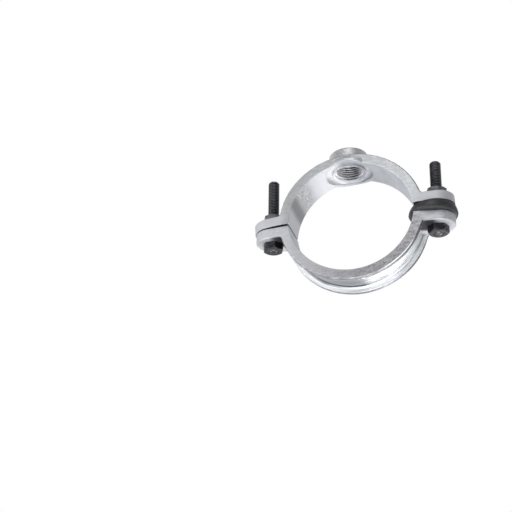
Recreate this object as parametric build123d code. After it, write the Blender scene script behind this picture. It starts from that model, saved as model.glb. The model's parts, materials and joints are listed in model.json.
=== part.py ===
"""Two-bolt cast aluminium pipe saddle clamp with a threaded outlet.

Frame: the origin is where the axis of the saddle's bore crosses the axis of the outlet.
+X runs from ear to ear towards the rubber ring, +Y runs along the pipe and +Z runs out of
the outlet. Each half is drawn about its own bore axis with its outside up. The strap is then
turned over and set down on its bolts, which stand a little askew. Millimetres and degrees.
"""
from build123d import *
from math import atan, cos, degrees, radians, sin, sqrt, tan
import os

# Bands of the two halves: a channel bent round the pipe, open to the outside
bore_radius = 44.5          # inside of both bands
band_width = 29.0           # along the pipe
band_depth = 7.1            # from the bore to the rims of the flanges
web_thickness = 3.4         # floor of the channel
flange_thickness = 3.9      # at the rims
flange_draft = 0.5          # what each flange gains from its rim to its root
channel_corner = 1.2        # inside corners of the channel
casting_edge = 0.6          # broken edges round the flanges, the ears and the bore

# Ears
saddle_split = 5.3          # the saddle ends this far short of its own bore axis
strap_split = 6.15          # and the strap this far short of its own
ear_thickness = 7.1
bolt_offset = 7.2           # from the rims of the flanges out to the bolt axes
narrowing_start = 3.0       # the band narrows to its ears from this far inside the bore's radius
saddle_ear_narrowing = 1.7  # from half the band's width to the ears' round ends
strap_ear_narrowing = 2.4
ear_root_round = 2.0        # where an ear meets the flanges
saddle_hole_radius = 5.0    # roomy, as the bolts lean in them
strap_hole_radius = 4.5

# Outlet and the seat of its rubber ring, each height counted from the one before
seat_depth = 0.2            # from the bore to the flat floor of the seat
pad_wall_height = 1.6       # straight wall of the pad beyond that floor
pad_flare_height = 7.5      # hollow sweep from the pad up to the outlet
pad_flare_rise = 2.0        # its slope at the pad meets the outlet's wall this high
outlet_height = 4.2         # outlet beyond the sweep
thread_radius = 10.5        # root of the half inch pipe thread
lip_height = 1.7            # collar round the hole, which stands into the pipe's own hole
lip_width = 1.7
lip_edge = 0.4
mouth_depth = 1.2           # countersink in the collar
seat_width = 4.6            # flat floor round the collar
seat_wall = 2.2             # makes the pad wider than the band
outlet_wall = 3.2           # at its end
outlet_taper = 0.4          # what the outlet gains from its end to its foot
outlet_edge = 0.6

# How the halves stand on their bolts
left_gap = 1.1              # between the ears, on the left bolt axis
right_gap = 8.0             # between the ears, on the right bolt axis
strap_shift = 0.3           # the strap sits this far towards the ring

# Bolts and nuts
bolt_radius = 4.0
bolt_length = 50.0          # under the head
bolt_tip_chamfer = 0.9
hex_across_flats = 13.0
hex_slope = 30.0            # of the turned corners, to the faces
head_face_radius = 6.1      # flat face inside those corners
nut_face_radius = 5.5
head_height = 5.3
head_dish_radius = 3.9      # shallow ring forged into the end of the head
head_dish_width = 1.1
head_dish_depth = 0.5
nut_height = 6.5
nut_thread_clearance = 0.25
nut_seat_clearance = 0.15
left_head_turn = -9.0       # a corner of the hexagon, from +X
right_head_turn = 14.0
left_nut_turn = -9.0
right_nut_turn = -13.0

# Rubber ring that the seat takes, kept on the right bolt for sale
ring_spread = 0.3           # pressed between the ears, it is wider than its seat
ring_edge_height = 2.6      # widest part of its edge
ring_edge_drop = 1.4        # what its edge loses from there to the ears
ring_lip_clearance = 0.2    # its hole to the lip in the seat
ring_offset = 3.0           # its middle is this far from the bolt, towards the bore
ring_clearance = 0.2        # to the ears

# Sizes that follow
half_width = band_width / 2
web_radius = bore_radius + web_thickness
rim_radius = bore_radius + band_depth
bolt_x = rim_radius + bolt_offset
seat_floor = bore_radius + seat_depth
lip_end = seat_floor - lip_height
pad_shoulder = seat_floor + pad_wall_height
pad_top = pad_shoulder + pad_flare_height
outlet_end = pad_top + outlet_height
outlet_end_radius = thread_radius + outlet_wall
outlet_foot_radius = outlet_end_radius + outlet_taper
lip_radius = thread_radius + lip_width
seat_radius = lip_radius + seat_width
pad_radius = seat_radius + seat_wall
ring_radius = seat_radius + ring_spread
ring_hole_radius = lip_radius + ring_lip_clearance
strap_tilt = degrees(atan((right_gap - left_gap) / (2 * bolt_x)))
tilt_sin = sin(radians(strap_tilt))
tilt_cos = cos(radians(strap_tilt))
strap_rise = saddle_split - (left_gap + right_gap) / 2 + strap_split / tilt_cos
hex_radius = hex_across_flats / sqrt(3)
nut_lift = nut_face_radius * tilt_sin + nut_seat_clearance
reach = 4 * bolt_x

# From the strap's frame to the clamp's, and the ways blocks and cylinders are hung
in_strap = Pos(strap_shift, 0, strap_rise) * Rot(0, strap_tilt, 0)
turned_over = Rot(180, 0, 0)
base_up = (Align.CENTER, Align.CENTER, Align.MIN)
base_down = (Align.CENTER, Align.CENTER, Align.MAX)


def above(height):
    """Everything above a height, as a block."""
    return Pos(0, 0, height) * Box(reach, reach, reach, align=base_up)


def below(height):
    """Everything below a height, as a block."""
    return Pos(0, 0, height) * Box(reach, reach, reach, align=base_down)


def side_profile(split):
    """A half seen along the pipe: half ring and two ears, with rounded ear roots."""
    ear_top = split + ear_thickness
    outline = Circle(rim_radius) + Pos(0, split + ear_thickness / 2) * Rectangle(reach, ear_thickness)
    outline -= Pos(0, split - reach / 2) * Rectangle(reach, reach)
    corner_x = sqrt(rim_radius**2 - ear_top**2)
    corners = [v for v in outline.vertices() if abs(v.Y - ear_top) < 0.01 and abs(abs(v.X) - corner_x) < 0.01]
    outline = fillet(corners, ear_root_round)
    return outline - Circle(bore_radius)


def plan_outline(end_radius):
    """A half seen from outside: the band's width, narrowing to a round end about each bolt."""
    start = bore_radius - narrowing_start
    right = Polygon(
        (0, -half_width), (start, -half_width), (bolt_x, -end_radius),
        (bolt_x, end_radius), (start, half_width), (0, half_width), align=None,
    )
    right += Pos(bolt_x, 0) * Circle(end_radius)
    return right + mirror(right, Plane.YZ)


def broken_edges(body, ear_top):
    """A half with its long edges broken: round the outside, over the ears and round the bore."""
    lengthwise = body.edges().filter_by(Axis.Y, reverse=True).filter_by(Axis.Z, reverse=True)
    return chamfer([e for e in lengthwise if e.bounding_box().max.Z > ear_top - 0.01], casting_edge)


def channel(ear_top):
    """The groove round the outside, from ear to ear, with drafted walls and broken corners."""
    rim_half = half_width - flange_thickness
    floor_half = rim_half - flange_draft
    over = 2 * rim_radius - web_radius
    section = Polygon(
        (web_radius, -floor_half), (over, -rim_half - flange_draft),
        (over, rim_half + flange_draft), (web_radius, floor_half), align=None,
    )
    section = chamfer(section.vertices().sort_by(Axis.X)[:2], channel_corner)
    return revolve(section, Axis.Y, 360) & above(ear_top)


def half_casting(split, end_radius, hole_radius):
    """One half: band with its channel, ears and bolt holes."""
    body = extrude(Plane.XZ * side_profile(split), half_width, both=True)
    body &= extrude(plan_outline(end_radius), 2 * rim_radius)
    body = broken_edges(body, split + ear_thickness) - channel(split + ear_thickness)
    for side in (-1, 1):
        body -= Pos(side * bolt_x, 0, 0) * Cylinder(hole_radius, 2 * rim_radius)
    return body


def outlet_metal():
    """Outlet that sweeps out into the wide round pad at its foot, cut to the pipe."""
    wall = Polyline(
        (pad_radius, pad_shoulder), (pad_radius, 0), (0, 0), (0, outlet_end),
        (outlet_end_radius - outlet_edge, outlet_end), (outlet_end_radius, outlet_end - outlet_edge),
        (outlet_foot_radius, pad_top),
    )
    bend = (outlet_foot_radius, pad_shoulder + pad_flare_rise)
    flare = Bezier((outlet_foot_radius, pad_top), bend, (pad_radius, pad_shoulder))
    turned = revolve(Plane.XZ * make_face([wall, flare]), Axis.Z, 360)
    return turned - Rot(90, 0, 0) * Cylinder(bore_radius, reach)


def seat():
    """Flat floor across the bore, which takes the rubber ring."""
    return Pos(0, 0, seat_floor) * Cylinder(seat_radius, seat_floor, align=base_down)


def collar():
    """Low collar round the mouth of the hole, standing on the floor of the seat."""
    ring = Pos(0, 0, lip_end) * Cylinder(lip_radius, lip_height, align=base_up)
    return chamfer(ring.edges().sort_by(Axis.Z)[0], lip_edge)


def outlet_hole():
    """Threaded hole through collar and outlet, countersunk at both ends."""
    inner_radius = lip_radius - lip_edge
    mouth = Pos(0, 0, lip_end) * Cone(inner_radius, thread_radius, mouth_depth, align=base_up)
    end = Cone(thread_radius, thread_radius + outlet_edge, outlet_edge, align=base_down)
    return Cylinder(thread_radius, reach, align=base_up) + mouth + Pos(0, 0, outlet_end) * end


def saddle():
    """The half with the outlet."""
    body = half_casting(saddle_split, half_width - saddle_ear_narrowing, saddle_hole_radius)
    return body + outlet_metal() - seat() + collar() - outlet_hole()


def strap():
    """The plain half, where it stands on its bolts."""
    half = half_casting(strap_split, half_width - strap_ear_narrowing, strap_hole_radius)
    return in_strap * turned_over * half


def hexagon(height, face_radius, turn):
    """Hexagonal prism from z = 0 up, with its upper corners turned off in a cone."""
    prism = extrude(Rot(0, 0, turn) * RegularPolygon(hex_radius, 6), height)
    tip = height + face_radius * tan(radians(hex_slope))
    return prism & Cone(tip / tan(radians(hex_slope)), 0, tip, align=base_up)


def bolt(turn):
    """Hex bolt threaded to the head, head below z = 0 and shank up."""
    head = turned_over * hexagon(head_height, head_face_radius, -turn)
    dish = Cylinder(head_dish_radius, head_dish_depth, align=base_up)
    dish -= Cylinder(head_dish_radius - head_dish_width, head_dish_depth, align=base_up)
    head -= Pos(0, 0, -head_height) * dish
    shank = Cylinder(bolt_radius, bolt_length, align=base_up)
    return head + chamfer(shank.edges().sort_by(Axis.Z)[-1], bolt_tip_chamfer)


def nut(turn):
    """Plain hex nut, seat face at z = 0, corners turned off at both ends."""
    upper = hexagon(nut_height, nut_face_radius, turn)
    lower = Pos(0, 0, nut_height) * turned_over * hexagon(nut_height, nut_face_radius, -turn)
    return (upper & lower) - Cylinder(bolt_radius + nut_thread_clearance, reach)


def on_bolt(side, height, shape):
    """Puts a shape on a bolt axis, at a height from the strap's own bore axis."""
    return in_strap * Pos(side * bolt_x, 0, height) * shape


def placed_bolt(side, turn):
    """A bolt with its head against the outside of the strap's ear."""
    return on_bolt(side, -strap_split - ear_thickness, bolt(turn))


def placed_nut(side, turn):
    """A nut square on its bolt, just clear of the saddle's ear, which leans to it."""
    clear_of = saddle_split + ear_thickness + nut_lift
    height = (clear_of - strap_rise + side * bolt_x * tilt_sin) / tilt_cos
    return on_bolt(side, height, nut(turn))


def gasket():
    """Rubber ring pressed into the wedge between the right ears, widest half way up its edge."""
    ear_side = right_gap / 2
    section = Polygon(
        (ring_hole_radius, -ear_side), (ring_radius - ring_edge_drop, -ear_side),
        (ring_radius, -ring_edge_height / 2), (ring_radius, ring_edge_height / 2),
        (ring_radius - ring_edge_drop, ear_side), (ring_hole_radius, ear_side), align=None,
    )
    ring = revolve(Plane.XZ * section, Axis.Z, 360)
    ring = Pos(bolt_x - ring_offset, 0, saddle_split - right_gap / 2) * Rot(0, strap_tilt / 2, 0) * ring
    ring -= above(saddle_split - ring_clearance)
    return ring - in_strap * below(ring_clearance - strap_split)


parts = {
    "saddle": saddle(),
    "strap": strap(),
    "gasket": gasket(),
    "bolt_left": placed_bolt(-1, left_head_turn),
    "bolt_right": placed_bolt(1, right_head_turn),
    "nut_left": placed_nut(-1, left_nut_turn),
    "nut_right": placed_nut(1, right_nut_turn),
}

os.makedirs("parts", exist_ok=True)
for name, solid in parts.items():
    export_step(solid, f"parts/{name}.step")
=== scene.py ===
import json
from math import cos, exp, radians, sin, tau

import bmesh
import bpy
from mathutils import Matrix, Vector


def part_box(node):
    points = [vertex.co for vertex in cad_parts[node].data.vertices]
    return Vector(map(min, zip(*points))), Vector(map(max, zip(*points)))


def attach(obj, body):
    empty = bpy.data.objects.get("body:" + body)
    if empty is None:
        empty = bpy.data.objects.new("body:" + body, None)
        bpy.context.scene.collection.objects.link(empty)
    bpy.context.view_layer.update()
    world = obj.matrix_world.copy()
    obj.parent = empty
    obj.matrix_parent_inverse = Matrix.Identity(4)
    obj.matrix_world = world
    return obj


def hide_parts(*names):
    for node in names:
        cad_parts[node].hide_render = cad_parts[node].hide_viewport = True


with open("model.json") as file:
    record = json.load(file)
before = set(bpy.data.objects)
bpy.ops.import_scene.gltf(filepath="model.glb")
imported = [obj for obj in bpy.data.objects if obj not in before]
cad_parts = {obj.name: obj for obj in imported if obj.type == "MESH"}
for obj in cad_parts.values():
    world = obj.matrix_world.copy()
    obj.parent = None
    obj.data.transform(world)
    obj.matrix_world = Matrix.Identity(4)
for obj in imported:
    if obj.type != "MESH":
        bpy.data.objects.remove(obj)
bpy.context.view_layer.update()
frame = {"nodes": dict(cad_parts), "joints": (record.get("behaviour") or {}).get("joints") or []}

MM = 0.001

# The photograph's camera, worked out from the round edges of both bands and from the bolts
LENS = 79.72
SENSOR_WIDTH = 36                 # the lens and this are in Blender's camera millimetres
CLIP_START = 10 * MM
CAMERA_AZIMUTH = radians(17.03)   # round the clamp, from straight in front towards the rubber ring
CAMERA_ELEVATION = radians(-24.71)
CAMERA_ROLL = radians(1.27)
CAMERA_DISTANCE = 797.4 * MM
CLAMP_ACROSS = 69.07 * MM         # the clamp stands right of the middle of the picture
CLAMP_ABOVE = 22.77 * MM
CLAMP_LEAN = radians(3.6)         # the ring's side of the saddle stands higher
CLAMP_DROP = 3.5 * MM

# Soft square lamps: place, aim and width in metres, power in watts
LAMPS = (
    ("under light", (0.06, -0.08, -0.44), (0, 0, 0), 0.6, 0.9),
    ("low front light", (0.02, -0.26, -0.38), (0, 0, 0.03), 0.45, 0.9),
    ("front light", (0.08, -0.28, 0.24), (0.02, 0, 0.04), 0.15, 0.42),
    ("side light", (-0.55, -0.40, 0.0), (0, 0, 0), 0.4, 2.0),
    ("low back light", (0.12, 0.42, -0.22), (0, 0, 0.02), 0.25, 0.45),
)
ROOM_LIGHT = 0.30                 # of white, as matt skins meet the room
ROOM_IN_GLOSS = 0.35              # as gloss meets it in front of the clamp
CORNER_IN_GLOSS = 0.60            # of that, past the clamp's right edge
PAPER_LIFT = 0.58                 # what the camera sees added to the paper
FLOOR_LEVEL = -0.5
FLOOR_REACH = 4.0

# Sizes of the clamp that the dressing follows
BORE_RADIUS = 44.5 * MM
WEB_RADIUS = 47.9 * MM            # the channel's floor
RIM_RADIUS = 51.6 * MM            # the tops of its flanges
SADDLE_SPLIT = 5.3 * MM           # the saddle's ears end this far above its bore axis
STRAP_SPLIT = 6.15 * MM           # and the strap's this far below its own
RIGHT_GAP = 8.0 * MM

# Bolts, M8 coarse thread
HEAD_HEIGHT = 5.3 * MM
BOLT_CREST = 4.0 * MM
BOLT_ROOT = 3.35 * MM
BOLT_PITCH = 1.25 * MM
BOLT_TIP_CHAMFER = 0.9 * MM
BOLT_SEGMENTS = 40
BOLT_ROWS_A_TURN = 10
ROD_IN_HEAD = 0.5 * MM            # the threaded rod starts this deep in the head
HEAD_TONE = 0.65                  # as if the head were this high on the thread
HAIR = 0.1 * MM                   # a height or radius within this of another counts as the same
SOLID_DOUBLES = 0.002 * MM        # corners nearer than this are one
THREAD_DOUBLES = 0.005 * MM
BOLT_SHARP = 18                   # degrees between faces from which an edge is crisp
PIECE_SHARP = 35

# Outlet, half inch pipe thread, 14 to the inch
OUTLET_ROOT = 10.5 * MM
OUTLET_CREST = 9.32 * MM
OUTLET_PITCH = 1.814 * MM
OUTLET_SEGMENTS = 96
OUTLET_ROWS_A_TURN = 12
OUTLET_INTO_BORE = 0.2 * MM
OUTLET_BELOW_END = 0.3 * MM
OUTLET_CLEAR = 0.02 * MM          # of the solid's wall, so that the two don't share a face
OUTLET_WALL = 0.1 * MM
THREAD_FLAT = 0.12                # of a flank's height, cut off flat at its root and at its crest

# Rubber ring, pressed between the right ears. Heights on its edge run from -1 at the strap to 1 at the saddle
RING_MIDDLE = 55.8 * MM
RING_RADIUS = 17.1 * MM
RING_HOLE = 12.4 * MM
RING_CLEARANCE = 0.2 * MM
RING_WIDEST = -0.45
RING_TOP_FALL = 1.9 * MM
RING_FOOT_FALL = 1.1 * MM
RING_GROOVE = 0.35 * MM           # under the lip at its top
RING_GROOVE_HEIGHT = 0.62
RING_GROOVE_WIDTH = 0.09
RING_FLASH = 0.12 * MM
RING_FLASH_WIDTH = 0.04
RING_CORNER = 0.35 * MM
RING_CORNER_START = 0.88
RING_BULGE = 0.10 * MM            # how far it is pressed out of round
RING_BULGE_TURN = 0.6             # radians, from where its widest bulge stands
RING_ROWS = 64
RING_COLUMNS = 180
RING_FACE_ROWS = (0.1, 0.4, 0.7)  # from the hole to the edge
RING_HOLE_ROWS = (-0.9, -0.5, 0.0, 0.5, 0.9)

# Stub of the gate: turn about the bore's axis, place along it, half length and half width, rise over the rim
GATE_BLOBS = (
    (radians(-84.6), -11.4 * MM, 1.3 * MM, 1.1 * MM, 0.06 * MM),
    (radians(-81.5), -11.2 * MM, 1.9 * MM, 1.3 * MM, 0.20 * MM),
)
GATE_THICK = 0.4 * MM             # half the thickness of a blob
GATE_RIPPLE = 0.12                # of its size

# Zones of a casting's skin. A zone joins all of its limits, or any of them. A limit is a measure with where
# the zone's mask starts and where it is full, a zone named before, or a plain strength. Angles run round the
# bore from the rubber ring's side over the top
ALL = "MULTIPLY"
ANY = "MAXIMUM"
CASTING_ZONES = (
    # Flat sides, paler low on the left, and the ears, which are duller
    ("side face", ALL, ("side turn", 0.75, 0.92)),
    ("paler side", ALL, "side face", ("part x", 10 * MM, -45 * MM), ("part z", 0.0, -8 * MM)),
    ("on ear", ALL, ("sideways", 44 * MM, 52 * MM)),
    ("ear side", ALL, "on ear", "side turn"),
    # Rims of the channel, with painted shade on the ring's side and a painted highlight along the rim's edge
    # low on that side
    ("out face", ALL, ("outward turn", 0.3, 0.7)),
    ("rim", ALL, "out face", ("distance", WEB_RADIUS + 2.2 * MM, WEB_RADIUS + 3.0 * MM),
     ("distance", RIM_RADIUS + 1.0 * MM, RIM_RADIUS + 0.5 * MM)),
    ("ring side of rim", ALL, "rim", ("part x", 18 * MM, 38 * MM)),
    ("worn edge", ALL, ("distance", RIM_RADIUS - 0.7 * MM, RIM_RADIUS - 0.4 * MM),
     ("distance", RIM_RADIUS + 0.4 * MM, RIM_RADIUS + 0.2 * MM), ("off middle", 13.8 * MM, 14.1 * MM),
     ("part x", 14 * MM, 30 * MM), ("part z", -8 * MM, -12 * MM)),
    # Wall of the bore, with a painted highlight left of the seat and painted shade in a band lower down on
    # the left
    ("bore face", ALL, ("outward turn", -0.5, -0.8)),
    ("paler wall", ALL, "bore face", ("angle", radians(142), radians(116)),
     ("angle", radians(96), radians(108))),
    ("low wall", ALL, "bore face", ("angle", radians(153), radians(162))),
    ("dull wall", ALL, "bore face", ("angle", radians(141), radians(147)),
     ("angle", radians(162), radians(154))),
    ("sand patch", ALL, "bore face", ("angle", radians(126), radians(136)),
     ("angle", radians(150), radians(142))),
    # Channel: its floor, with painted shade at the roots of its walls, and at the bottom painted shade up to
    # a darker painted shadow line
    ("channel floor", ALL, "out face", ("distance", WEB_RADIUS + 1.6 * MM, WEB_RADIUS + 0.8 * MM)),
    ("channel root", ALL, "channel floor", ("off middle", 8.9 * MM, 9.7 * MM), 0.55),
    ("channel wall", ALL, "side face", ("off middle", 12.5 * MM, 11.5 * MM),
     ("distance", WEB_RADIUS - 0.3 * MM, WEB_RADIUS + 0.3 * MM),
     ("distance", RIM_RADIUS + 0.6 * MM, RIM_RADIUS + 0.1 * MM)),
    ("at bottom", ALL, ("angle", radians(-76), radians(-90))),
    ("dragged", ALL, "channel floor", "at bottom", ("along", 8.0 * MM, 7.0 * MM)),
    ("drag line", ALL, "channel floor", "at bottom", ("along", 6.2 * MM, 7.2 * MM),
     ("along", 9.6 * MM, 8.8 * MM)),
    # Painted shade on the ears' outer faces round the bolts, and in the hollows between them and the band
    ("underside", ALL, "on ear", ("sideways", 61 * MM, 55 * MM), ("along", 6 * MM, 2 * MM),
     ("upward", -0.6, -0.85)),
    ("hollow", ALL, ("away from joint", -4 * MM, -2 * MM), ("upright", 18.2 * MM, 16.4 * MM),
     ("sideways", 44.8 * MM, 46 * MM), ("sideways", 56 * MM, 52 * MM), ("along", 5 * MM, 1 * MM),
     ("along", -11.2 * MM, -10.7 * MM)),
    # Seat of the rubber ring, with a painted highlight on its left, and painted shade at the outlet's end
    ("cleaned seat", ALL, ("from outlet", 17.0 * MM, 16.4 * MM), ("across", -2 * MM, -9 * MM),
     ("height", 40 * MM, 41 * MM), ("height", 46 * MM, 45.5 * MM)),
    ("outlet's end", ALL, ("height", 57.2 * MM, 57.5 * MM), ("upward", 0.9, 0.7)),
    # Painted highlights on crisp edges and painted shade in corners, which the machined outlet and seat don't
    # have
    ("clear of outlet", ANY, ("from outlet", 19 * MM, 22 * MM), ("height", 50 * MM, 47 * MM)),
    ("clear of seat", ANY, ("from outlet", 18 * MM, 21 * MM), ("height", 42 * MM, 38 * MM)),
    ("edge", ALL, "clear of outlet", ("evenness", 0.97, 0.80), ("open sky", 0.6, 0.85)),
    ("corner", ALL, "clear of seat", ("open sky", 0.66, 0.32)),
)

# Tones laid over the casting's sides and ears. A layer is its zone and one hex colour, or its zone and a
# pattern with two places on it, each with its hex colour
CASTING_LAYERS = (
    ("rim", "scuff", 0.35, "#7a7a7e", 0.65, "#b0b1b5"),
    # painted shade on the ring's side of the rim
    ("ring side of rim", "scuff", 0.35, "#5c5c61", 0.65, "#76777c"),
    ("bore face", "blotch", 0.3, "#adb0b5", 0.7, "#c3c7cd"),
    # painted highlight on the bore wall left of the seat
    ("paler wall", "#c6c7cb"),
    ("low wall", "#ccced2"),
    # painted shade in a band of the bore wall
    ("dull wall", "sand", 0.35, "#88888b", 0.65, "#a2a2a6"),
    ("channel floor", "streak", 0.35, "#87919a", 0.52, "#f8fbfd"),
    ("channel wall", "streak", 0.3, "#cfd2d6", 0.55, "#f8f9fb"),
    # painted shade at the channel's roots, low on its floor and in a painted shadow line
    ("channel root", "#6d7074"),
    ("dragged", "streak", 0.4, "#85898d", 0.7, "#a9adb1"),
    ("drag line", "#4c4f52"),
    # painted shade on the ears' outer faces and in the hollows beside them
    ("underside", "#4c4c50"),
    ("hollow", "#37373a"),
    # painted highlight along the rim's edge
    ("worn edge", "#ffffff"),
    ("sand patch", "crust", 0.40, "#8c8c8f", 0.62, "#ececef"),
    # painted highlight on the left of the seat
    ("cleaned seat", "blotch", 0.3, "#eeeff2", 0.7, "#ffffff"),
    # painted highlights on edges, then painted shade in corners
    ("edge", "#f0f1f3"),
    ("corner", "#39393c"),
    # painted shade at the outlet's end
    ("outlet's end", "#6c6c70"),
)

STREAK_STRETCH = 14               # times as long as wide
SCUFF_STRETCH = 4

# Inputs of the trees that make threads
THREAD_INPUTS = (
    ("Root Radius", "Float"), ("Crest Radius", "Float"), ("Pitch", "Float"), ("Length", "Float"),
    ("End Radius", "Float"), ("Far Radius", "Float"), ("Segments", "Int"), ("Rows", "Int"),
    ("Material", "Material"),
)


# Colours and nodes

def linear(code):
    """An sRGB hex colour as Blender's linear RGBA."""
    parts = [int(code[i:i + 2], 16) / 255 for i in (1, 3, 5)]
    return tuple(c / 12.92 if c <= 0.04045 else ((c + 0.055) / 1.055) ** 2.4 for c in parts) + (1.0,)


def add(tree, kind, settings=None, **inputs):
    """Adds a node. Each input is a value, or another node's output to link. Its name is the socket's, with _
    for a space, or _ and the socket's number where names repeat."""
    node = tree.nodes.new(kind)
    for key, value in (settings or {}).items():
        setattr(node, key, value)
    for key, value in inputs.items():
        socket = node.inputs[int(key[1:])] if key[0] == "_" else node.inputs[key.replace("_", " ")]
        if isinstance(value, bpy.types.NodeSocket):
            tree.links.new(value, socket)
        else:
            socket.default_value = value
    return node


def blank_material(name):
    """A material with an empty node tree."""
    material = bpy.data.materials.new(name)
    material.use_nodes = True
    material.node_tree.nodes.clear()
    return material


def mark_zones(tree, fields, zones):
    """Works out the mask of each zone, from 0 to 1, and keeps it among the fields by the zone's name."""
    for name, join, *limits in zones:
        mask = None
        for limit in limits:
            if isinstance(limit, tuple):
                measure, start, full = limit
                part = add(tree, "ShaderNodeMapRange", {"interpolation_type": "SMOOTHSTEP"},
                           Value=fields[measure], From_Min=start, From_Max=full).outputs[0]
            elif isinstance(limit, str):
                part = fields[limit]
            else:
                part = limit
            if mask is None:
                mask = part
            else:
                mask = add(tree, "ShaderNodeMath", {"operation": join}, _0=mask, _1=part).outputs[0]
        fields[name] = mask


def painted(tree, fields, layers):
    """The colour of a finish: its first layer all over, then each layer as far as its zone's mask says."""
    colour = None
    for zone, *tone in layers:
        if len(tone) == 1:
            over = linear(tone[0])
        else:
            pattern, low, low_code, high, high_code = tone
            ramp = add(tree, "ShaderNodeValToRGB", Fac=fields[pattern])
            for element, position, code in zip(ramp.color_ramp.elements, (low, high), (low_code, high_code)):
                element.position = position
                element.color = linear(code)
            over = ramp.outputs[0]
        if colour is None:
            colour = over
        else:
            colour = add(tree, "ShaderNodeMix", {"data_type": "RGBA"},
                         Factor=fields[zone], _6=colour, _7=over).outputs[2]
    return colour


def evenness(tree, rounded):
    """How well the rounded normal keeps to the true one: 1 on flat skin, less at an edge."""
    true_normal = add(tree, "ShaderNodeNewGeometry").outputs["True Normal"]
    agreement = add(tree, "ShaderNodeVectorMath", {"operation": "DOT_PRODUCT"}, _0=rounded, _1=true_normal)
    return agreement.outputs["Value"]


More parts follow.
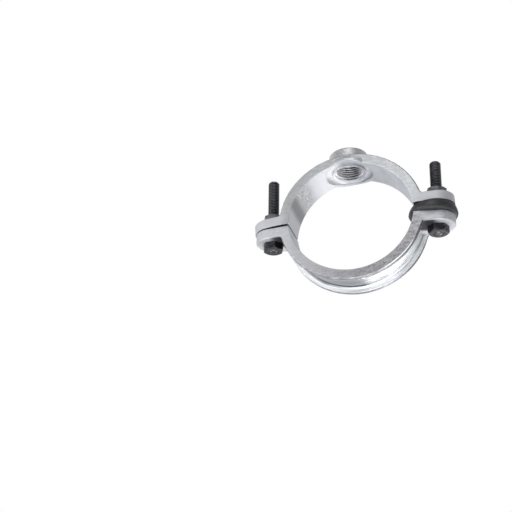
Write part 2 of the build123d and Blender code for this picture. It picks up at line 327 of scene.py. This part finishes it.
def cast_aluminium(name, axis, front_low, front_high, ear_high):
    """Sand cast aluminium, blasted: a grainy grey skin, with painted highlights on its edges and painted
    shade in its corners. The channel's floor was drawn smooth and shows bright streaks round the pipe, and
    the bore is paler, with a patch of burnt-on sand. axis is where the casting's bore axis runs; the tones
    are the darkest and lightest of its flat sides and the lightest of its ears."""
    material = blank_material(name)
    tree = material.node_tree
    coords = add(tree, "ShaderNodeTexCoord").outputs
    place = coords["Object"]
    at = add(tree, "ShaderNodeSeparateXYZ", Vector=place).outputs
    facing = add(tree, "ShaderNodeSeparateXYZ", Vector=coords["Normal"]).outputs

    # Measures of a spot: how far it is from the bore's axis and which way round, and how its skin faces
    off_axis = add(tree, "ShaderNodeVectorMath", {"operation": "MULTIPLY_ADD"},
                   _0=place, _1=(1, 0, 1), _2=(-axis.x, 0, -axis.z)).outputs["Vector"]
    part = add(tree, "ShaderNodeSeparateXYZ", Vector=off_axis).outputs
    distance = add(tree, "ShaderNodeVectorMath", {"operation": "LENGTH"}, _0=off_axis).outputs["Value"]
    outward = add(tree, "ShaderNodeVectorMath", {"operation": "NORMALIZE"}, _0=off_axis).outputs["Vector"]
    outward_turn = add(tree, "ShaderNodeVectorMath", {"operation": "DOT_PRODUCT"},
                       _0=outward, _1=coords["Normal"]).outputs["Value"]
    angle = add(tree, "ShaderNodeMath", {"operation": "ARCTAN2"}, _0=part["Z"], _1=part["X"]).outputs[0]
    away = add(tree, "ShaderNodeMath", {"operation": "MULTIPLY"}, _0=facing["Z"], _1=part["Z"]).outputs[0]
    flat_place = add(tree, "ShaderNodeVectorMath", {"operation": "MULTIPLY"},
                     _0=place, _1=(1, 1, 0)).outputs["Vector"]
    from_outlet = add(tree, "ShaderNodeVectorMath", {"operation": "LENGTH"}, _0=flat_place).outputs["Value"]
    open_sky = add(tree, "ShaderNodeAmbientOcclusion", {"samples": 8}, Distance=4 * MM).outputs["AO"]
    rounded = add(tree, "ShaderNodeBevel", {"samples": 6}, Radius=0.5 * MM).outputs[0]
    fields = {
        "across": at["X"], "along": at["Y"], "height": at["Z"], "part x": part["X"], "part z": part["Z"],
        "distance": distance, "angle": angle, "outward turn": outward_turn, "upward": facing["Z"],
        "away from joint": away, "from outlet": from_outlet, "open sky": open_sky,
        "evenness": evenness(tree, rounded),
    }
    for measure, signed in (("side turn", facing["Y"]), ("off middle", at["Y"]),
                            ("sideways", part["X"]), ("upright", part["Z"])):
        fields[measure] = add(tree, "ShaderNodeMath", {"operation": "ABSOLUTE"}, _0=signed).outputs[0]
    mark_zones(tree, fields, CASTING_ZONES)

    # Patterns. The moulding sand's grain is drawn 0.9 mm wide, coarser than real, so that it shows
    round_pipe = add(tree, "ShaderNodeMath", {"operation": "MULTIPLY"},
                     _0=angle, _1=WEB_RADIUS / STREAK_STRETCH).outputs[0]
    drawn = add(tree, "ShaderNodeCombineXYZ", X=round_pipe, Y=at["Y"], Z=distance).outputs[0]
    brushed = add(tree, "ShaderNodeMapping", Vector=place, Scale=(1 / SCUFF_STRETCH, 1, 1)).outputs[0]
    for pattern, spot, width, detail, roughness, distortion in (
        ("sand", place, 0.9 * MM, 3.0, 0.7, 0.0),
        ("blotch", place, 9 * MM, 4.0, 0.6, 0.0),
        ("crust", place, 1.0 * MM, 5.0, 0.8, 0.6),
        ("streak", drawn, 1.3 * MM, 3.0, 0.6, 0.0),
        ("scuff", brushed, 1.6 * MM, 4.0, 0.5, 0.0),
    ):
        fields[pattern] = add(tree, "ShaderNodeTexNoise", Vector=spot, Scale=1 / width, Detail=detail,
                              Roughness=roughness, Distortion=distortion).outputs[0]
    fields["smear"] = add(tree, "ShaderNodeMix", Factor=0.35, A=fields["sand"], B=fields["scuff"]).outputs[0]
    colour = painted(tree, fields, (
        (None, "blotch", 0.35, "#b9bbbf", 0.7, "#d2d3d7"),
        ("side face", "smear", 0.40, front_low, 0.60, front_high),
        ("paler side", "smear", 0.35, front_high, 0.65, ear_high),
        ("ear side", "scuff", 0.3, front_high, 0.65, ear_high),
    ) + CASTING_LAYERS)

    roughness = add(tree, "ShaderNodeMapRange", Value=fields["sand"], From_Min=0.3, From_Max=0.7,
                    To_Min=0.42, To_Max=0.6).outputs[0]
    roughness = add(tree, "ShaderNodeMix", Factor=fields["channel floor"], A=roughness, B=0.36).outputs[0]
    roughness = add(tree, "ShaderNodeMix", Factor=fields["on ear"], A=roughness, B=0.7).outputs[0]
    crusted = add(tree, "ShaderNodeMath", {"operation": "MULTIPLY"},
                  _0=fields["crust"], _1=fields["sand patch"]).outputs[0]
    normal = rounded
    for height, depth, strength in ((fields["sand"], 0.12 * MM, 0.8), (fields["blotch"], 0.5 * MM, 0.5),
                                    (crusted, 0.5 * MM, 0.8)):
        normal = add(tree, "ShaderNodeBump", Height=height, Distance=depth, Strength=strength,
                     Normal=normal).outputs[0]
    shader = add(tree, "ShaderNodeBsdfPrincipled", Base_Color=colour, Metallic=0.8, Roughness=roughness,
                 Normal=normal)
    add(tree, "ShaderNodeOutputMaterial", Surface=shader.outputs[0])
    return material


def black_oxide_steel(name, low, high, threaded=False):
    """Cold headed steel blackened in hot oxide: near black, a little shiny, greyer at worn edges and spots,
    between a low and a high tone. A thread is worn on its crests and blackest in its roots."""
    material = blank_material(name)
    tree = material.node_tree
    place = add(tree, "ShaderNodeTexCoord").outputs["Object"]
    wear = add(tree, "ShaderNodeTexNoise", Vector=place, Scale=1 / (2.5 * MM), Detail=5.0,
               Roughness=0.7).outputs[0]
    rounded = add(tree, "ShaderNodeBevel", {"samples": 6}, Radius=0.25 * MM).outputs[0]
    fields = {"wear": wear, "evenness": evenness(tree, rounded)}
    zones = [("edges", ALL, ("evenness", 0.98, 0.85))]
    layers = [(None, "wear", 0.35, low, 0.72, high)]
    if threaded:
        fields["up thread"] = add(tree, "ShaderNodeAttribute", {"attribute_name": "crest"}).outputs["Fac"]
        zones += [("roots", ALL, ("up thread", 0.55, 0.05)), ("crests", ALL, ("up thread", 0.75, 1.0))]
        layers += [("roots", "#0b0b0c"), ("crests", "#6a6a70")]
    layers += [("edges", "#77777c")]
    mark_zones(tree, fields, zones)
    roughness = add(tree, "ShaderNodeMapRange", Value=wear, From_Min=0.3, From_Max=0.7,
                    To_Min=0.55, To_Max=0.35).outputs[0]
    skin = add(tree, "ShaderNodeBump", Height=wear, Distance=0.08 * MM, Strength=0.5,
               Normal=rounded).outputs[0]
    shader = add(tree, "ShaderNodeBsdfPrincipled", Base_Color=painted(tree, fields, layers), Metallic=0.9,
                 Roughness=roughness, Normal=skin)
    add(tree, "ShaderNodeOutputMaterial", Surface=shader.outputs[0])
    return material


def tapped_aluminium():
    """Aluminium where the thread was cut, with the tap's chatter along it: bright crests, and painted shade
    in the roots and on the hole's front and back walls, which the brighter walls to either side don't have."""
    material = blank_material("tapped aluminium")
    tree = material.node_tree
    place = add(tree, "ShaderNodeTexCoord").outputs["Object"]
    at = add(tree, "ShaderNodeSeparateXYZ", Vector=place).outputs
    flat_place = add(tree, "ShaderNodeCombineXYZ", X=at["X"], Y=at["Y"]).outputs[0]
    distance = add(tree, "ShaderNodeVectorMath", {"operation": "LENGTH"}, _0=flat_place).outputs["Value"]
    sideways = add(tree, "ShaderNodeMath", {"operation": "ABSOLUTE"}, _0=at["X"]).outputs[0]
    chatter = add(tree, "ShaderNodeTexNoise", Vector=place, Scale=1 / (1.2 * MM), Detail=3.0).outputs[0]
    fields = {"distance": distance, "sideways": sideways, "chatter": chatter}
    mark_zones(tree, fields, (
        ("at sides", ALL, ("sideways", 2.5 * MM, 8 * MM)),
        ("crests", ALL, ("distance", OUTLET_CREST + 0.5 * MM, OUTLET_CREST + 0.1 * MM)),
    ))
    # Painted shade darkens the roots and the hole's front and back walls; the walls to either side are
    # lighter
    colour = painted(tree, fields, (
        (None, "chatter", 0.35, "#5c5c60", 0.65, "#7b7b7f"),
        ("at sides", "chatter", 0.35, "#c9c9ce", 0.65, "#ececf0"),
        ("crests", "at sides", 0.0, "#b4b4b8", 1.0, "#e6e6ea"),
    ))
    skin = add(tree, "ShaderNodeBump", Height=chatter, Distance=0.1 * MM, Strength=0.5).outputs[0]
    shader = add(tree, "ShaderNodeBsdfPrincipled", Base_Color=colour, Metallic=0.8, Roughness=0.42,
                 Normal=skin)
    add(tree, "ShaderNodeOutputMaterial", Surface=shader.outputs[0])
    return material


def broken_aluminium():
    """Aluminium where the gate was broken off: bright and coarsely torn."""
    material = blank_material("broken cast aluminium")
    tree = material.node_tree
    place = add(tree, "ShaderNodeTexCoord").outputs["Object"]
    torn = add(tree, "ShaderNodeTexNoise", Vector=place, Scale=1 / (0.8 * MM), Detail=4.0,
               Roughness=0.8).outputs[0]
    colour = painted(tree, {"torn": torn}, ((None, "torn", 0.35, "#b4b4b8", 0.6, "#fbfbfc"),))
    skin = add(tree, "ShaderNodeBump", Height=torn, Distance=0.2 * MM, Strength=0.7).outputs[0]
    shader = add(tree, "ShaderNodeBsdfPrincipled", Base_Color=colour, Metallic=0.8, Roughness=0.35,
                 Normal=skin)
    add(tree, "ShaderNodeOutputMaterial", Surface=shader.outputs[0])
    return material


def moulded_rubber():
    """Black nitrile rubber from a mould: dull, with a faint sheen at its edges and light specks of dust."""
    material = blank_material("moulded nitrile rubber")
    tree = material.node_tree
    place = add(tree, "ShaderNodeTexCoord").outputs["Object"]
    dust = add(tree, "ShaderNodeTexNoise", Vector=place, Scale=1 / (1.1 * MM), Detail=3.0,
               Roughness=0.8).outputs[0]
    cloud = add(tree, "ShaderNodeTexNoise", Vector=place, Scale=1 / (7 * MM), Detail=3.0).outputs[0]
    fields = {"dust": dust, "cloud": cloud}
    mark_zones(tree, fields, (("specks", ALL, ("dust", 0.67, 0.72)),))
    colour = painted(tree, fields, (
        (None, "cloud", 0.35, "#1c1c1f", 0.7, "#303035"),
        ("specks", "#8d8d95"),
    ))
    skin = add(tree, "ShaderNodeBump", Height=cloud, Distance=0.3 * MM, Strength=0.6).outputs[0]
    shader = add(tree, "ShaderNodeBsdfPrincipled", Base_Color=colour, Roughness=0.5, Normal=skin)
    add(tree, "ShaderNodeOutputMaterial", Surface=shader.outputs[0])
    return material


# Threads

def thread_tree(name, inside):
    """A threaded rod, or the threaded wall of a hole, about the Z axis from the far end down to z = 0. The
    mesh is a sheet rolled round the axis, whose rows step down the thread; its first and last row run in to
    the Far Radius and close it."""
    tree = bpy.data.node_groups.new(name, "GeometryNodeTree")
    for label, kind in THREAD_INPUTS:
        tree.interface.new_socket(label, in_out="INPUT", socket_type="NodeSocket" + kind)
    tree.interface.new_socket("Geometry", in_out="OUTPUT", socket_type="NodeSocketGeometry")
    given = add(tree, "NodeGroupInput").outputs
    position = add(tree, "GeometryNodeInputPosition").outputs[0]
    spot = add(tree, "ShaderNodeSeparateXYZ", Vector=position).outputs
    fields = {label: given[label] for label, kind in THREAD_INPUTS}
    fields.update({"across sheet": spot["X"], "up sheet": spot["Y"]})

    # Steps of arithmetic, each with its result's name first; the sheet is 1 wide and high about its middle
    steps = [
        ("columns", "ADD", "Segments", 1),
        ("all rows", "ADD", "Rows", 3 if inside else 2),
        ("turn", "ADD", "across sheet", 0.5),
        ("share", "ADD", "up sheet", 0.5),
        ("last row", "SUBTRACT", "all rows", 1),
        ("row", "MULTIPLY", "share", "last row"),
        ("height", "MAP_RANGE", "row", 1.0, "Rows", "Length", 0.0),
    ]
    if inside:
        steps += [
            ("past rows", "ADD", "Rows", 1.5),
            ("closing", "GREATER_THAN", "row", "past rows"),
            ("height", "MULTIPLY_ADD", "closing", "Length", "height"),
        ]
    steps += [
        ("turns up", "DIVIDE", "height", "Pitch"),
        ("turns past", "SUBTRACT", "turns up", "turn"),
        ("phase", "FRACT", "turns past"),
        ("swing", "MULTIPLY_ADD", "phase", 2.0, -1.0),
        ("fall", "ABSOLUTE", "swing"),
        ("ridge", "SUBTRACT", 1.0, "fall"),
        ("ridge", "MAP_RANGE", "ridge", THREAD_FLAT, 1 - THREAD_FLAT, 0.0, 1.0),
        ("depth", "SUBTRACT", "Crest Radius", "Root Radius"),
        ("radius", "MULTIPLY_ADD", "ridge", "depth", "Root Radius"),
        ("from end", "SUBTRACT", "Length", "height"),
    ]
    if inside:
        steps += [
            ("mouth", "SUBTRACT", "End Radius", "from end"),
            ("radius", "MAXIMUM", "radius", "mouth"),
            ("foot", "SUBTRACT", "End Radius", "height"),
            ("radius", "MAXIMUM", "radius", "foot"),
        ]
    else:
        steps += [
            ("tip", "ADD", "End Radius", "from end"),
            ("radius", "MINIMUM", "radius", "tip"),
        ]
    steps += [
        ("before", "LESS_THAN", "row", 0.5),
        ("last turned", "ADD", "Rows", 0.5),
        ("after", "GREATER_THAN", "row", "last turned"),
        ("closed", "MAXIMUM", "before", "after"),
        ("to far", "SUBTRACT", "Far Radius", "radius"),
        ("radius", "MULTIPLY_ADD", "closed", "to far", "radius"),
        ("angle", "MULTIPLY", "turn", tau),
        ("cosine", "COSINE", "angle"),
        ("sine", "SINE", "angle"),
        ("x", "MULTIPLY", "radius", "cosine"),
        ("y", "MULTIPLY", "radius", "sine"),
    ]
    for result, operation, *values in steps:
        inputs = {f"_{i}": fields.get(value, value) for i, value in enumerate(values)}
        if operation == "MAP_RANGE":
            node = add(tree, "ShaderNodeMapRange", **inputs)
        else:
            node = add(tree, "ShaderNodeMath", {"operation": operation}, **inputs)
        fields[result] = node.outputs[0]

    sheet = add(tree, "GeometryNodeMeshGrid", Size_X=1.0, Size_Y=1.0,
                Vertices_X=fields["columns"], Vertices_Y=fields["all rows"]).outputs[0]
    rolled = add(tree, "ShaderNodeCombineXYZ", X=fields["x"], Y=fields["y"], Z=fields["height"]).outputs[0]
    shaped = add(tree, "GeometryNodeSetPosition", Geometry=sheet, Position=rolled).outputs[0]
    joined = add(tree, "GeometryNodeMergeByDistance", Geometry=shaped, Distance=THREAD_DOUBLES).outputs[0]
    real = add(tree, "GeometryNodeRealizeInstances", Geometry=joined).outputs[0]
    made = add(tree, "GeometryNodeSetMaterial", Geometry=real, Material=given["Material"]).outputs[0]
    add(tree, "NodeGroupOutput", Geometry=made)
    return tree


def grown(name, tree, place, values):
    """Runs a tree with its named inputs and gives its mesh, set in place, as a plain object."""
    source = bpy.data.objects.new(name + "_source", bpy.data.meshes.new(name + "_source"))
    bpy.context.scene.collection.objects.link(source)
    modifier = source.modifiers.new("grow", "NODES")
    modifier.node_group = tree
    for item in tree.interface.items_tree:
        if item.in_out == "INPUT" and item.name in values:
            modifier[item.identifier] = values[item.name]
    seen = source.evaluated_get(bpy.context.evaluated_depsgraph_get())
    mesh = bpy.data.meshes.new_from_object(seen)
    bpy.data.objects.remove(source)
    mesh.transform(place)
    return finished(name, mesh)


def finished(name, mesh, sharp=PIECE_SHARP):
    """An object at the origin for a closed mesh, its faces turned outwards, crisp at edges over so many
    degrees."""
    shape = bmesh.new()
    shape.from_mesh(mesh)
    bmesh.ops.recalc_face_normals(shape, faces=shape.faces)
    shape.to_mesh(mesh)
    shape.free()
    mesh.shade_smooth()
    mesh.set_sharp_from_angle(angle=radians(sharp))
    mesh.name = name
    piece = bpy.data.objects.new(name, mesh)
    bpy.context.scene.collection.objects.link(piece)
    return piece


# Pieces

def bolt_frame(side):
    """The strap's level on a bolt's axis, with Z up the bolt, from the nut's joint."""
    joint = next(j for j in frame["joints"] if j["name"] == f"nut_{side}_turn")
    turn = Vector((0, 0, 1)).rotation_difference(Vector(joint["axis"]))
    return Matrix.Translation(Vector(joint["pos_m"])) @ turn.to_matrix().to_4x4()


def dress_bolt(side, skin):
    """A bolt with a real thread: its head is a merged copy of the solid's, closed under the shank."""
    node = frame["nodes"]["bolt_" + side]
    place = bolt_frame(side)
    shape = bmesh.new()
    shape.from_mesh(node.data)
    shape.transform(place.inverted())
    bmesh.ops.remove_doubles(shape, verts=shape.verts, dist=SOLID_DOUBLES)
    lowest = min(v.co.z for v in shape.verts)
    highest = max(v.co.z for v in shape.verts)
    seat = lowest + HEAD_HEIGHT
    shank = [f for f in shape.faces if max(v.co.z for v in f.verts) > seat + HAIR]
    bmesh.ops.delete(shape, geom=shank, context="FACES")
    bmesh.ops.holes_fill(shape, edges=[e for e in shape.edges if e.is_boundary], sides=0)
    head = bpy.data.meshes.new("head")
    shape.to_mesh(head)
    shape.free()
    head.transform(place)
    foot = place @ Matrix.Translation((0, 0, seat - ROD_IN_HEAD))
    length = highest - seat + ROD_IN_HEAD
    rod = grown("rod_" + side, THREADED_ROD, foot, {
        "Root Radius": BOLT_ROOT, "Crest Radius": BOLT_CREST, "Pitch": BOLT_PITCH, "Length": length,
        "End Radius": BOLT_CREST - BOLT_TIP_CHAMFER, "Far Radius": 0.0, "Segments": BOLT_SEGMENTS,
        "Rows": int(length / BOLT_PITCH * BOLT_ROWS_A_TURN), "Material": skin,
    })
    shape = bmesh.new()
    shape.from_mesh(head)
    shape.from_mesh(rod.data)
    mesh = bpy.data.meshes.new("bolt")
    shape.to_mesh(mesh)
    shape.free()
    bpy.data.objects.remove(rod)
    mesh.materials.clear()
    mesh.materials.append(skin)
    for face in mesh.polygons:
        face.material_index = 0
    to_bolt = place.inverted()
    crest = mesh.attributes.new("crest", "FLOAT", "POINT")
    for vertex, mark in zip(mesh.vertices, crest.data):
        spot = to_bolt @ vertex.co
        on_thread = spot.z > seat + HAIR and spot.xy.length > BOLT_ROOT - HAIR
        mark.value = (spot.xy.length - BOLT_ROOT) / (BOLT_CREST - BOLT_ROOT) if on_thread else HEAD_TONE
    bolt = finished("threaded_bolt_" + side, mesh, sharp=BOLT_SHARP)
    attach(bolt, "strap")
    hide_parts("bolt_" + side)


def dress_outlet(skin):
    """The half inch pipe thread on the wall of the outlet's hole."""
    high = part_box("saddle")[1]
    bottom = BORE_RADIUS - OUTLET_INTO_BORE
    length = high.z - OUTLET_BELOW_END - bottom
    thread = grown("outlet_thread", THREADED_WALL, Matrix.Translation((0, 0, bottom)), {
        "Root Radius": OUTLET_ROOT + OUTLET_CLEAR, "Crest Radius": OUTLET_CREST, "Pitch": OUTLET_PITCH,
        "Length": length, "End Radius": OUTLET_ROOT, "Far Radius": OUTLET_ROOT + OUTLET_WALL,
        "Segments": OUTLET_SEGMENTS, "Rows": int(length / OUTLET_PITCH * OUTLET_ROWS_A_TURN),
        "Material": skin,
    })
    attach(thread, "saddle")


def ring_edge(height):
    """How far the ring's edge falls short of its widest at a height. It leans out to its widest low down,
    with a lip under the saddle's ear, a line of flash at its widest, and rounded corners."""
    if height > RING_WIDEST:
        fall = RING_TOP_FALL * ((height - RING_WIDEST) / (1 - RING_WIDEST)) ** 2
    else:
        fall = RING_FOOT_FALL * ((RING_WIDEST - height) / (1 + RING_WIDEST)) ** 2
    groove = RING_GROOVE * exp(-((height - RING_GROOVE_HEIGHT) / RING_GROOVE_WIDTH) ** 2)
    flash = RING_FLASH * exp(-((height - RING_WIDEST) / RING_FLASH_WIDTH) ** 2)
    into_corner = max(0.0, (abs(height) - RING_CORNER_START) / (1 - RING_CORNER_START))
    return fall + groove - flash + RING_CORNER * into_corner ** 2


def dress_ring(skin):
    """The rubber ring, remade as a moulding with a lip and a leaning edge, pressed between the ears."""
    tilt = strap_up.angle(Vector((0, 0, 1))) / 2
    flat = Vector((cos(tilt), 0, -sin(tilt)))
    thick = Vector((sin(tilt), 0, cos(tilt)))
    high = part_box("gasket")[1]
    middle = Vector((RING_MIDDLE, 0, SADDLE_SPLIT - RIGHT_GAP / 2))
    strap_face = strap_axis + strap_up * (RING_CLEARANCE - STRAP_SPLIT)

    # Its section, from the edge down and back through the hole: shares of the way out from the hole, or None
    # on the edge, and heights
    section = [(None, 1 - 2 * i / RING_ROWS) for i in range(RING_ROWS + 1)]
    section += [(share, -1.0) for share in reversed(RING_FACE_ROWS)]
    section += [(0.0, height) for height in RING_HOLE_ROWS]
    section += [(share, 1.0) for share in RING_FACE_ROWS]
    shape = bmesh.new()
    rings = []
    for i in range(RING_COLUMNS):
        turn = tau * i / RING_COLUMNS
        bulge = RING_BULGE * sin(2 * turn + RING_BULGE_TURN) * sin(3 * turn)
        column = []
        for share, height in section:
            outer = RING_RADIUS - ring_edge(height) + bulge - RING_BULGE
            radius = outer if share is None else RING_HOLE + (outer - RING_HOLE) * share
            spot = middle + flat * (radius * cos(turn))
            foot = (strap_face - spot).dot(strap_up) / thick.dot(strap_up)
            top = (high.z - spot.z) / thick.z
            rise = foot + (top - foot) * (height + 1) / 2
            column.append(shape.verts.new(spot + Vector((0, radius * sin(turn), 0)) + thick * rise))
        rings.append(column)
    for i, column in enumerate(rings):
        following = rings[(i + 1) % RING_COLUMNS]
        for j in range(len(section)):
            k = (j + 1) % len(section)
            shape.faces.new((column[j], following[j], following[k], column[k]))
    mesh = bpy.data.meshes.new("ring")
    shape.to_mesh(mesh)
    shape.free()
    mesh.materials.append(skin)
    ring = finished("rubber_ring", mesh)
    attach(ring, "strap")
    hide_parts("gasket")


def dress_gate(skin):
    """Two low blobs left on the strap's front rim where the casting's gate was broken off."""
    lean = strap_up.rotation_difference(Vector((0, 0, 1))).inverted().to_matrix()
    shape = bmesh.new()
    for turn, along, long, wide, proud in GATE_BLOBS:
        out = Vector((cos(turn), 0, sin(turn)))
        round_rim = Vector((-sin(turn), 0, cos(turn)))
        blob = bmesh.ops.create_icosphere(shape, subdivisions=3, radius=1.0)["verts"]
        for vertex in blob:
            spot = vertex.co.copy()
            ripple = 1 + GATE_RIPPLE * sin(5 * spot.x + 3 * spot.y) * cos(4 * spot.z)
            local = round_rim * (spot.x * long * ripple) + Vector((0, spot.y * wide * ripple, 0))
            local += out * (RIM_RADIUS + proud + (spot.z - 1) * GATE_THICK)
            vertex.co = strap_axis + lean @ (local + Vector((0, along, 0)))
    mesh = bpy.data.meshes.new("gate")
    shape.to_mesh(mesh)
    shape.free()
    mesh.materials.append(skin)
    gate = finished("gate_mark", mesh)
    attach(gate, "strap")


THREADED_ROD = thread_tree("threaded rod", inside=False)
THREADED_WALL = thread_tree("threaded wall", inside=True)

nut_joints = [j for j in frame["joints"] if j["name"].startswith("nut")]
strap_up = Vector(next(j["axis"] for j in nut_joints if j["name"] == "nut_left_turn"))
strap_axis = sum((Vector(j["pos_m"]) for j in nut_joints), Vector()) / 2
saddle_skin = cast_aluminium("sand cast aluminium of the saddle", Vector(), "#a9abae", "#c6c8cb", "#c9cacf")
strap_skin = cast_aluminium("sand cast aluminium of the strap", strap_axis, "#7f7f82", "#bcbcc0", "#d0d0d6")
bolt_steel = black_oxide_steel("black oxide steel of the bolts", "#2a2a2e", "#4e4e54", threaded=True)
nut_steel = black_oxide_steel("black oxide steel of the nuts", "#5e5e62", "#96969c")

for name, skin in (("saddle", saddle_skin), ("strap", strap_skin),
                   ("nut_left", nut_steel), ("nut_right", nut_steel)):
    node_mesh = frame["nodes"][name].data
    node_mesh.materials.clear()
    node_mesh.materials.append(skin)

for side in ("left", "right"):
    dress_bolt(side, bolt_steel)
dress_outlet(tapped_aluminium())
dress_ring(moulded_rubber())
dress_gate(broken_aluminium())


# Studio

def pale_room():
    """A white backdrop all round for the camera and glass. Gloss sees it white behind the clamp, dimmer in
    front, where a room would be, and past its right edge, and what lights the clamp is dimmer still."""
    world = bpy.data.worlds.new("pale room")
    world.use_nodes = True
    tree = world.node_tree
    tree.nodes.clear()
    path = add(tree, "ShaderNodeLightPath").outputs
    way = add(tree, "ShaderNodeTexCoord").outputs["Generated"]
    direction = add(tree, "ShaderNodeSeparateXYZ", Vector=way).outputs
    fields = {"rightward": direction["X"], "upward": direction["Z"]}
    mark_zones(tree, fields, (("past right edge", ALL, ("rightward", 0.15, 0.55), ("upward", -0.3, 0.0)),))
    dimmed = add(tree, "ShaderNodeMath", {"operation": "MULTIPLY_ADD"},
                 _0=fields["past right edge"], _1=CORNER_IN_GLOSS - 1.0, _2=1.0).outputs[0]
    behind = add(tree, "ShaderNodeMapRange", {"interpolation_type": "SMOOTHSTEP"}, Value=direction["Y"],
                 From_Min=-0.4, From_Max=0.4, To_Min=ROOM_IN_GLOSS, To_Max=1.0).outputs[0]
    in_gloss = add(tree, "ShaderNodeMath", {"operation": "MULTIPLY"}, _0=behind, _1=dimmed).outputs[0]
    light = add(tree, "ShaderNodeMix", Factor=path["Is Glossy Ray"], A=ROOM_LIGHT, B=in_gloss).outputs[0]
    plain = add(tree, "ShaderNodeMath", {"operation": "MAXIMUM"},
                _0=path["Is Camera Ray"], _1=path["Is Transmission Ray"]).outputs[0]
    strength = add(tree, "ShaderNodeMix", Factor=plain, A=light, B=1.0).outputs[0]
    white = add(tree, "ShaderNodeBackground", Color=(1, 1, 1, 1), Strength=strength)
    add(tree, "ShaderNodeOutputWorld", Surface=white.outputs[0])
    bpy.context.scene.world = world


def white_paper():
    """Matt white studio paper. The camera sees it nearly white with the clamp's shadow on it, and gloss and
    glass see it white, as they see the backdrop."""
    material = blank_material("matt white studio paper")
    tree = material.node_tree
    path = add(tree, "ShaderNodeLightPath").outputs
    lit = add(tree, "ShaderNodeBsdfDiffuse", Color=linear("#f6f6f6")).outputs[0]
    lift = add(tree, "ShaderNodeMath", {"operation": "MULTIPLY"},
               _0=path["Is Camera Ray"], _1=PAPER_LIFT).outputs[0]
    glow = add(tree, "ShaderNodeEmission", Color=(1, 1, 1, 1), Strength=lift).outputs[0]
    seen = add(tree, "ShaderNodeAddShader", _0=lit, _1=glow).outputs[0]
    white = add(tree, "ShaderNodeEmission", Color=(1, 1, 1, 1), Strength=1.0).outputs[0]
    mirrored = add(tree, "ShaderNodeMath", {"operation": "MAXIMUM"},
                   _0=path["Is Glossy Ray"], _1=path["Is Transmission Ray"]).outputs[0]
    mixed = add(tree, "ShaderNodeMixShader", Fac=mirrored, _1=seen, _2=white)
    add(tree, "ShaderNodeOutputMaterial", Surface=mixed.outputs[0])
    return material


pale_room()
for name, place, aim, width, power in LAMPS:
    light = bpy.data.lights.new(name, "AREA")
    light.size = width
    light.energy = power
    lamp = bpy.data.objects.new(name, light)
    lamp.location = place
    lamp.rotation_euler = (Vector(aim) - Vector(place)).to_track_quat("-Z", "Y").to_euler()
    lamp.visible_camera = False
    bpy.context.scene.collection.objects.link(lamp)

floor_mesh = bpy.data.meshes.new("floor")
corners = [(x * FLOOR_REACH, y * FLOOR_REACH, FLOOR_LEVEL) for x, y in ((-1, -1), (1, -1), (1, 1), (-1, 1))]
floor_mesh.from_pydata(corners, [], [(0, 1, 2, 3)])
floor_mesh.materials.append(white_paper())
floor = bpy.data.objects.new("floor", floor_mesh)
bpy.context.scene.collection.objects.link(floor)

# The camera is worked out in a frame that is level with the photograph, then leant with the clamp
across = Vector((cos(CAMERA_AZIMUTH), sin(CAMERA_AZIMUTH), 0))
back = Vector((sin(CAMERA_AZIMUTH) * cos(CAMERA_ELEVATION), -cos(CAMERA_AZIMUTH) * cos(CAMERA_ELEVATION),
               sin(CAMERA_ELEVATION)))
above = back.cross(across)
turned = Matrix.Rotation(-CAMERA_ROLL, 3, "Z") @ Matrix((across, above, back))
stand = turned.transposed() @ Vector((-CLAMP_ACROSS, -CLAMP_ABOVE, CAMERA_DISTANCE))
leant = Matrix.Rotation(CLAMP_LEAN, 3, "Y")
camera_data = bpy.data.cameras.new("camera")
camera_data.lens = LENS
camera_data.sensor_width = SENSOR_WIDTH
camera_data.clip_start = CLIP_START
camera = bpy.data.objects.new("camera", camera_data)
camera_turn = (leant @ turned.transposed()).to_4x4()
camera.matrix_world = Matrix.Translation(leant @ (stand + Vector((0, 0, CLAMP_DROP)))) @ camera_turn
bpy.context.scene.collection.objects.link(camera)
bpy.context.scene.camera = camera
bpy.context.scene.view_settings.view_transform = "Standard"
